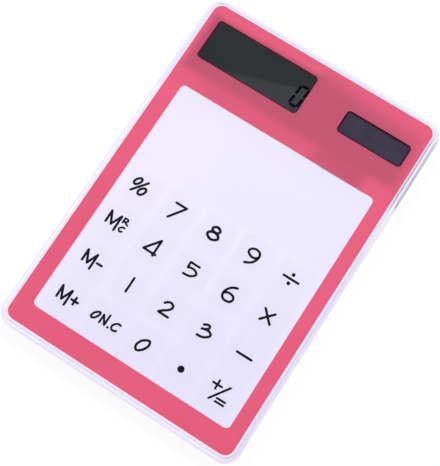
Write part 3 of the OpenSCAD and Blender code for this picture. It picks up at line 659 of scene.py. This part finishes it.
LEGENDS = {
    (0, 3): [  # percent
        [(-1.4, 2.2), (-2.48, 1.37), (-2.83, 0.29), (-2.31, -0.3), (-1.46, 0.22), (-0.85, 1.48),
         (-1.4, 2.2)],
        [(1.21, 2.03), (-2.33, -2.43)],
        [(1.32, 0.07), (0.19, -0.69), (-0.2, -1.78), (0.34, -2.43), (1.32, -2.0), (1.89, -0.69),
         (1.32, 0.07)],
    ],
    (1, 3): [[(-1.7, 1.5), (1.91, 1.53)], [(1.91, 1.53), (-1.66, -3.52)]],  # 7
    (2, 3): [  # 8
        [(-0.31, 1.72), (-1.45, 1.1), (-1.3, 0.25), (-0.31, -0.05), (0.7, 0.25), (0.87, 1.1), (-0.31, 1.72)],
        [(-0.31, -0.1), (-1.75, -0.62), (-2.0, -1.62), (-0.35, -2.45), (1.35, -1.62), (1.15, -0.62),
         (-0.31, -0.1)],
    ],
    (3, 3): [  # 9
        [(1.35, 0.2), (0.75, -0.25), (-0.31, -0.45), (-1.55, 0.07), (-2.0, 0.83), (-1.5, 1.74), (-0.2, 2.18),
         (1.1, 1.74), (1.56, 0.72), (1.28, -0.76), (0.34, -2.0), (-1.33, -2.93)],
    ],
    (4, 3): [[(-2.68, 0.07), (2.32, 0.07)]],  # bar of the division sign
    (0, 2): [  # M of the recall key
        [(-3.29, 2.35), (-3.24, -1.34)], [(-3.24, 2.35), (-1.46, -1.23)], [(-1.46, -1.23), (0.19, 2.35)],
        [(0.21, 2.35), (0.23, -2.43)],
    ],
    (1, 2): [  # 4
        [(1.02, 2.46), (-2.46, -2.1)], [(-2.46, -2.1), (1.67, -2.15)], [(1.04, 2.46), (1.04, -2.7)],
    ],
    (2, 2): [  # 5
        [(1.63, 1.74), (-1.4, 1.77)], [(-1.4, 1.77), (-1.35, 0.0)],
        [(-1.35, 0.0), (-0.37, 0.33), (0.82, 0.29), (1.8, -0.26), (1.87, -0.95), (0.82, -1.84),
         (-0.37, -2.15), (-1.57, -2.23)],
    ],
    (3, 2): [  # 6
        [(1.32, 2.46), (0.02, 1.92), (-1.07, 0.83), (-1.61, -0.47), (-1.46, -1.56), (-0.74, -2.32),
         (0.23, -2.5), (1.32, -2.21), (1.93, -1.34), (1.54, -0.37), (0.45, 0.0), (-0.74, -0.15),
         (-1.5, -0.69)],
    ],
    (4, 2): [[(-1.81, 1.92), (1.71, -1.63)], [(1.56, 1.85), (-1.66, -1.67)]],  # times
    (0, 1): [  # M and minus
        [(-2.55, 1.92), (-2.55, -1.67)], [(-2.53, 1.92), (-0.81, -1.71)], [(-0.81, -1.71), (0.71, 1.92)],
        [(0.75, 1.92), (0.76, -2.87)], [(1.87, -0.32), (3.5, -0.28)],
    ],
    (1, 1): [[(0.41, 1.92), (0.41, -2.76)]],  # 1
    (2, 1): [  # 2
        [(-1.2, 0.61), (-0.37, 1.33), (0.6, 1.53), (1.45, 1.0), (1.5, 0.2), (0.82, -0.69), (-0.48, -1.63),
         (-1.42, -2.5)],
        [(-1.42, -2.54), (1.91, -2.56)],
    ],
    (3, 1): [  # 3
        [(-1.18, 1.37), (-0.2, 1.9), (0.67, 1.74), (0.63, 1.05), (-0.09, 0.46), (-1.11, 0.07)],
        [(-0.2, 0.35), (1.0, 0.46), (2.02, -0.1), (2.04, -0.69), (1.21, -1.56), (0.02, -2.06),
         (-1.4, -2.17)],
    ],
    (4, 1): [[(-2.03, -0.1), (2.87, -0.08)]],  # minus
    (0, 0): [  # M and plus
        [(-2.77, 2.13), (-2.7, -1.56)], [(-2.74, 2.13), (-1.07, -1.56)], [(-1.07, -1.56), (0.52, 2.13)],
        [(0.56, 2.13), (0.56, -2.65)], [(1.65, -0.1), (3.82, -0.1)], [(2.69, 1.05), (2.73, -1.19)],
    ],
    (1, 0): [  # ON and C
        [(-2.4, 1.27), (-3.55, 0.55), (-4.13, -0.69), (-3.77, -1.28), (-2.79, -0.76), (-2.09, 0.61),
         (-2.4, 1.27)],
        [(-1.0, 1.27), (-1.0, -1.34)], [(-0.98, 1.27), (0.58, -1.23)], [(0.69, 2.03), (0.63, -1.23)],
        [(4.9, 1.15), (4.1, 1.2), (3.19, 0.61), (2.76, -0.26), (2.97, -1.02), (3.73, -1.28), (4.6, -0.91)],
    ],
    (2, 0): [  # 0
        [(1.04, 1.87), (-0.55, 0.94), (-1.35, -0.63), (-1.2, -1.78), (-0.42, -2.23), (0.93, -1.28),
         (1.76, 0.29), (1.69, 1.55), (1.04, 1.87)],
    ],
    (4, 0): [  # plus, slash and equals
        [(-3.05, 1.96), (-0.13, 1.96)], [(-1.6, 3.33), (-1.57, 0.61)], [(2.21, 3.11), (-1.7, -2.65)],
        [(0.37, -1.39), (3.08, -1.34)], [(0.37, -2.43), (3.08, -2.39)],
    ],
}
SMALL_LEGENDS = {
    (0, 2): [  # R and C of the recall key
        [(1.32, 2.46), (1.32, 0.94)], [(1.32, 2.4), (2.19, 2.5), (2.55, 2.07), (2.19, 1.6), (1.43, 1.42)],
        [(1.76, 1.5), (3.0, 0.79)],
        [(2.85, -0.26), (2.19, -0.3), (1.5, -0.91), (1.54, -1.56), (2.08, -1.84), (2.67, -1.56)],
    ],
}

# Dots: x, y and width
LEGEND_DOTS = {
    (4, 3): [(-0.2, 1.55, 1.14), (-0.2, -1.39, 1.14)],
    (1, 0): [(1.84, -1.34, 0.76)],
    (3, 0): [(0.28, 0.0, 2.12)],
}

# Each column's print stands a little left of the middle of its electrodes
KEYS_MIDDLE = middle_of("key_electrodes")
KEY_PITCH = 13.1
COLUMN_SHIFTS = (-0.33, -0.23, -0.23, -0.23, -0.23)
KEY_MIDDLES_X = [KEYS_MIDDLE.x + KEY_PITCH * (k - 2) + shift for k, shift in enumerate(COLUMN_SHIFTS)]
KEY_MIDDLES_Y = [KEYS_MIDDLE.y + KEY_PITCH * (k - 1.5) for k in range(4)]
LEGEND_WIDTH = 0.75
OTHER_WIDTHS = {(2, 3): 0.82, (2, 2): 0.71, (1, 0): 0.67, (4, 0): 0.67}
SMALL_LEGEND_WIDTH = 0.6
DOT_REACH = 0.01
LEGEND_GAP = 0.004
LEGEND_TOP = 0.04
LEGEND_STEP = 0.002
LEGEND_STEPS = 5


def legend_strokes():
    """All strokes of all keys, each set on the touch film's face at its key's middle. Strokes that follow
    each other differ by a step in height, so that their tops don't fight where they cross."""
    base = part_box("touch_film")[1].z / MM
    drawn = []
    for key, strokes in LEGENDS.items():
        drawn += [(key, marks, OTHER_WIDTHS.get(key, LEGEND_WIDTH)) for marks in strokes]
    for key, strokes in SMALL_LEGENDS.items():
        drawn += [(key, marks, SMALL_LEGEND_WIDTH) for marks in strokes]
    for key, dots in LEGEND_DOTS.items():
        drawn += [(key, [(x - DOT_REACH, y), (x + DOT_REACH, y)], width) for x, y, width in dots]
    parts = []
    for turn, (key, marks, width) in enumerate(drawn):
        middle = np.array([KEY_MIDDLES_X[key[0]], KEY_MIDDLES_Y[key[1]]])
        top = base + LEGEND_TOP + LEGEND_STEP * (turn % LEGEND_STEPS)
        parts.append(pen_stroke(np.asarray(marks) + middle, width, base + LEGEND_GAP, top))
    return join(parts)


# Other shapes that stand for a CAD node or lie on one

FILM_EASE = 0.02


def film_plate():
    """The film's frame with its three windows, thinner than the film by an ease on each side, to keep its
    faces apart from the clear ones."""
    outlines = [
        round_outline(*plan_of("colour_film"), FILM_CORNER),
        round_outline(*TOUCH_WINDOW, TOUCH_CORNER),
        round_outline(*DISPLAY_WINDOW, SMALL_CORNER),
        round_outline(*SOLAR_WINDOW, SMALL_CORNER),
    ]
    return plate(outlines, FILM_LOW.z + FILM_EASE, FILM_HIGH.z - FILM_EASE)


DIGIT_WIDTH, DIGIT_HEIGHT = 2.75, 6.9
DIGIT_FROM_RIGHT, DIGIT_FROM_NEAR = 0.75, 2.25
DIGIT_SINK, DIGIT_RAISE = 0.005, 0.012
DIGIT_LEAN = 0.08
BAR_HALF, BAR_GAP = 0.42, 0.12


def display_digit():
    """The six lit segments of a nought: bars with pointed ends round a slanted rectangle."""
    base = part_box("front_polariser")[1].z / MM
    x1 = DISPLAY_WINDOW[1] - DIGIT_FROM_RIGHT
    x0 = x1 - DIGIT_WIDTH
    y0 = DISPLAY_WINDOW[2] + DIGIT_FROM_NEAR
    y1 = y0 + DIGIT_HEIGHT
    mid = (y0 + y1) / 2

    def bar(start, end):
        """A bar between two points: a hexagon with its two points on the line's ends."""
        start, end = np.array(start), np.array(end)
        along = (end - start) / np.linalg.norm(end - start)
        side = np.array([-along[1], along[0]]) * BAR_HALF
        start, end = start + along * BAR_GAP, end - along * BAR_GAP
        near, far = start + along * BAR_HALF, end - along * BAR_HALF
        ring = np.array([start, near - side, far - side, end, far + side, near + side])
        ring[:, 0] += DIGIT_LEAN * (ring[:, 1] - mid)
        return ring

    ends = [((x0, y1), (x1, y1)), ((x0, y0), (x1, y0)), ((x0, y0), (x0, mid)), ((x0, mid), (x0, y1)),
            ((x1, y0), (x1, mid)), ((x1, mid), (x1, y1))]
    return join([plate([bar(a, b)], base - DIGIT_SINK, base + DIGIT_RAISE) for a, b in ends])


PLINTH_HEAD, PLINTH_SHANK, PLINTH_THREAD = (1.2, 0.7), (0.7, 3.0), 0.55
LAMINATE_HEAD, LAMINATE_SHANK, LAMINATE_THREAD = (1.08, 0.6), (0.6, 1.7), 0.45
LAMINATE_SPACING = 14.2
SCREW_CREASE = 38


def plinth_screws():
    """The plinth's two screws, at the left and right ends of the CAD screws' box, pointing up."""
    low, high = corners_of("cover_screws")
    y = (low.y + high.y) / 2
    ends = low.x + PLINTH_HEAD[0], high.x - PLINTH_HEAD[0]
    return join([screw((x, y), low.z, 1, PLINTH_HEAD, PLINTH_SHANK, PLINTH_THREAD) for x in ends])


def laminate_screws():
    """The board's two screws, half their spacing to either side of the CAD screws' middle, pointing down."""
    low, high = corners_of("board_screws")
    x, middle_y = (low.x + high.x) / 2, (low.y + high.y) / 2
    ends = middle_y - LAMINATE_SPACING / 2, middle_y + LAMINATE_SPACING / 2
    return join([screw((x, y), high.z, -1, LAMINATE_HEAD, LAMINATE_SHANK, LAMINATE_THREAD) for y in ends])


ARROW = np.array([(0, -1.9), (2.4, 0.3), (0.9, 0.3), (0.9, 2.4), (-0.9, 2.4), (-0.9, 0.3), (-2.4, 0.3)])
ARROW_PAST_MIDDLE = 1.525
ARROW_RAISE, ARROW_SINK = 0.09, 0.01


def door_arrow():
    """The arrow on the door's outer face, which points the way that the door slides."""
    x, y, _ = middle_of("battery_door")
    face = corners_of("battery_door")[0].z
    return plate([ARROW + (x, y + ARROW_PAST_MIDDLE)], face - ARROW_RAISE, face + ARROW_SINK)


# Pieces

steel = metal("screw_steel", (0.62, 0.61, 0.59), (0.74, 0.73, 0.71))
white = moulded("white_plastic", rgb(232, 231, 233), rgb(241, 240, 242))
electrodes = clear_film("electrode_film", 0.004, (0.9, 0.9, 1.0), (0.8, 0.8, 1.0))

make_piece("film_frame", *film_plate(), rose_film(), "rose_film", stands_for=["colour_film"])
make_piece("key_legends", *legend_strokes(), print_ink(), "rose_film")
make_piece("lit_segments", *display_digit(), segment_ink(), "dark_polariser")
make_piece("plinth_screws", *plinth_screws(), steel, "screw_steel", crease=SCREW_CREASE,
           stands_for=["cover_screws"])
make_piece("laminate_screws", *laminate_screws(), steel, "screw_steel", crease=SCREW_CREASE,
           stands_for=["board_screws"])
eased_copy("bay_plinth", "bay_cover", white, "white_plastic", 0.04)
make_piece("door_arrow", *door_arrow(), white, "white_plastic", "door")
eased_copy("clear_electrodes", "key_electrodes", electrodes, "electrode_film", 0.01)
eased_copy("clear_feet", "case_feet", clear_rubber(), "clear_rubber", 0.02)


# Finishes of the CAD nodes

# Tints: inside the film's edge, in the rim, in painted shade on the rim's right side, and in the outer wall,
# partly painted shade
CASE_TINTS = (0.90, 0.875, 0.995), (0.795, 0.775, 0.90), (0.64, 0.62, 0.78), (0.56, 0.55, 0.63)
CASE_WALL = (1.4, 2.1)
LENS_TINTS = (0.99, 0.985, 0.999), (0.985, 0.97, 0.99), (0.95, 0.93, 0.98), (0.45, 0.43, 0.54)
LENS_WALL = (0.7, 0.78)
AMBER = rgb(190, 118, 36), rgb(210, 140, 54), rgb(128, 66, 26)
IVORY = rgb(226, 214, 190), rgb(236, 226, 206), rgb(150, 140, 120)
BANDED = rgb(206, 168, 176), rgb(222, 188, 194), rgb(44, 42, 46)
TAIL_PITCH = 0.74
BAND_PITCH = 0.24
NODE_FINISHES = {
    clear_plastic("clear_case", *CASE_TINTS, CASE_WALL, 0.0): ["rear_case"],
    clear_plastic("clear_lens", *LENS_TINTS, LENS_WALL, 0.5): ["front_lens"],
    clear_film("clear_film", 0.07, (1.0, 0.9, 1.0), (0.45, 0.46, 1.0)): ["lens_tape", "touch_film"],
    layered("amber_film", *AMBER, TAIL_PITCH, 0.45): ["touch_tail"],
    layered("ivory_plastic", *IVORY, TAIL_PITCH, 0.3): ["tail_socket"],
    dark_polariser(): ["front_polariser"],
    moulded("display_glass", rgb(150, 172, 164), rgb(168, 188, 180), 0.1): ["front_glass", "rear_glass"],
    moulded("seal_resin", rgb(90, 86, 80), rgb(104, 100, 94)): ["glass_seal"],
    metal("silver_polariser", (0.7, 0.71, 0.7), (0.8, 0.81, 0.8), 0.35): ["rear_polariser"],
    moulded("black_plastic", rgb(24, 24, 27), rgb(34, 34, 38)): ["display_holder"],
    layered("contact_rubber", *BANDED, BAND_PITCH, 0.5): ["contact_strip"],
    solar_face("cell_glass"): ["solar_glass"],
    solar_face("silicon"): ["solar_strips"],
    metal("tinned_wire", (0.72, 0.72, 0.71), (0.82, 0.82, 0.8), 0.25): ["solar_leads"],
    board_laminate(): ["circuit_board"],
    moulded("chip_resin", rgb(14, 14, 16), rgb(26, 26, 29), 0.25): ["chip_drop"],
    capacitor_body(): ["chip_capacitors"],
    cell_steel(): ["button_cell"],
    metal("spring_bronze", (0.66, 0.45, 0.22), (0.78, 0.57, 0.31)): ["positive_contact", "negative_contact"],
    white: ["battery_door"],
    moulded("pad_rubber", rgb(60, 60, 64), rgb(74, 74, 78), 0.75): ["cover_pads"],
}
for finish, nodes in NODE_FINISHES.items():
    for name in nodes:
        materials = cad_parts[name].data.materials
        materials.clear()
        materials.append(finish.material)


# Stage, light and camera

FLOOR_HALF = 3.0
FLOOR_Z = -1e-4
CAMERA_GLOW = (0.6, 1.27)
CLEAR_GLOW = (0.82, 1.25)


def pale_floor():
    """Pale floor: diffuse, so that it keeps the shadow, with a share of its own white in the rays that show
    it: one share for those from the camera, and a larger one for those from gloss and through clear pieces.
    A glow is that share and the white's strength."""
    finish = Finish("pale_floor", Roughness=0.9, Specular_IOR_Level=0.0)
    cloud = finish.noise(120.0, 2.0)
    finish.wear(Base_Color=finish.blend(rgb(238, 238, 240), rgb(244, 244, 246), cloud))
    path = finish.add("ShaderNodeLightPath").outputs
    camera, gloss, through = (Num(finish, path[f"Is {k} Ray"]) for k in ("Camera", "Glossy", "Transmission"))
    seen = finish.shader.outputs[0]
    for rays, (share, level) in ((camera, CAMERA_GLOW), (gloss.most(through), CLEAR_GLOW)):
        glow = finish.add("ShaderNodeEmission", {}, {"Color": (1.0, 1.0, 1.0), "Strength": level})
        mix = finish.add("ShaderNodeMixShader", {}, {0: share * rays, 1: seen, 2: glow.outputs[0]})
        seen = mix.outputs[0]
    finish.put(finish.output.inputs["Surface"], seen)
    return finish


CEILING = 0.35
DARK_SIDE = (0.9, -0.44)
DARK_DROP = 0.75
DIM_PATCH = 0.015
PATCH_WAY = (-0.147, 0.206, 0.967)


def studio():
    """Surroundings: white to the camera; to all else a horizon that is greyer on the dark side, with a grey
    ceiling and in it a dim patch, which keeps the lens from mirroring white."""
    world = bpy.data.worlds.new("studio")
    world.use_nodes = True
    web = Web(world.node_tree)
    x, y, z = web.parts(web.add("ShaderNodeTexCoord").outputs["Generated"])
    horizon = 1.0 - DARK_DROP * (DARK_SIDE[0] * x + DARK_SIDE[1] * y).step(-0.5, 0.7)
    high = z.step(0.76, 0.92)
    patch = (PATCH_WAY[0] * x + PATCH_WAY[1] * y + PATCH_WAY[2] * z).step(0.955, 0.975)
    ceiling = CEILING + (DIM_PATCH - CEILING) * patch
    camera = web.add("ShaderNodeLightPath", {}, {}, "Is Camera Ray")
    strength = camera + (1 - camera) * (horizon * (1 - high) + ceiling * high)
    light = web.add("ShaderNodeBackground", {}, {"Strength": strength})
    web.add("ShaderNodeOutputWorld", {}, {"Surface": light.outputs[0]})
    return world


def area_lamp(name, place, side, level):
    """A square soft lamp aimed at the middle of the floor. It gives the object `level` of the light that
    shows a colour as it is written: its power grows with the square of its distance over the cosine of its
    slant."""
    lamp = bpy.data.lights.new(name, "AREA")
    lamp.size = side
    reach = np.linalg.norm(place)
    lamp.energy = level * np.pi**2 * reach**2 / (place[2] / reach)
    obj = bpy.data.objects.new(name, lamp)
    bpy.context.scene.collection.objects.link(obj)
    out = np.array(place) / reach
    right = np.cross((0, 1, 0.001), out)
    right /= np.linalg.norm(right)
    turn = np.stack([right, np.cross(out, right), out], -1)
    obj.matrix_world = Matrix.LocRotScale(place, Matrix(turn.tolist()), None)
    obj.visible_camera = False
    return obj


LENS_LENGTH = 98.0
SENSOR_WIDTH = 36.0
NEAR_CLIP = 0.01
CAMERA_RIGHT = (0.84090123, 0.54094922, -0.01609572)
CAMERA_UP = (-0.52141972, 0.81779091, 0.24359699)
FILM_SEEN_AT = 6.39
CAMERA_PLACE = (55.331, -77.109, 362.329 + FILM_SEEN_AT)


def photo_camera():
    """The photo's camera, which was solved on the film's corners and windows. The height of its place counts
    from where the film seems to lie through the lens."""
    camera = bpy.data.objects.new("camera", bpy.data.cameras.new("camera"))
    bpy.context.scene.collection.objects.link(camera)
    camera.data.lens = LENS_LENGTH
    camera.data.sensor_width = SENSOR_WIDTH
    camera.data.clip_start = NEAR_CLIP
    place = np.array(CAMERA_PLACE) * MM
    turn = np.stack([CAMERA_RIGHT, CAMERA_UP, np.cross(CAMERA_RIGHT, CAMERA_UP)], -1)
    camera.matrix_world = Matrix.LocRotScale(place.tolist(), Matrix(turn.tolist()), None)
    return camera


floor_corners = [(x * FLOOR_HALF, y * FLOOR_HALF, FLOOR_Z) for x, y in ((-1, -1), (1, -1), (1, 1), (-1, 1))]
floor_mesh = bpy.data.meshes.new("floor")
floor_mesh.from_pydata(floor_corners, [], [(0, 1, 2, 3)])
floor_mesh.materials.append(pale_floor().material)
floor = bpy.data.objects.new("floor", floor_mesh)
bpy.context.scene.collection.objects.link(floor)

area_lamp("far_lamp", (0.15, 1.0, 0.85), 0.5, 0.22)
area_lamp("left_lamp", (-0.95, 0.05, 0.75), 0.6, 0.16)
low_lamp = area_lamp("right_lamp", (1.0, 0.3, 0.3), 0.6, 0.09)
low_lamp.visible_glossy = False
low_lamp.visible_transmission = False

BOUNCES = 128
scene = bpy.context.scene
scene.world = studio()
scene.camera = photo_camera()
scene.cycles.max_bounces = BOUNCES
scene.cycles.glossy_bounces = BOUNCES
scene.cycles.transmission_bounces = BOUNCES
scene.view_settings.view_transform = "Standard"
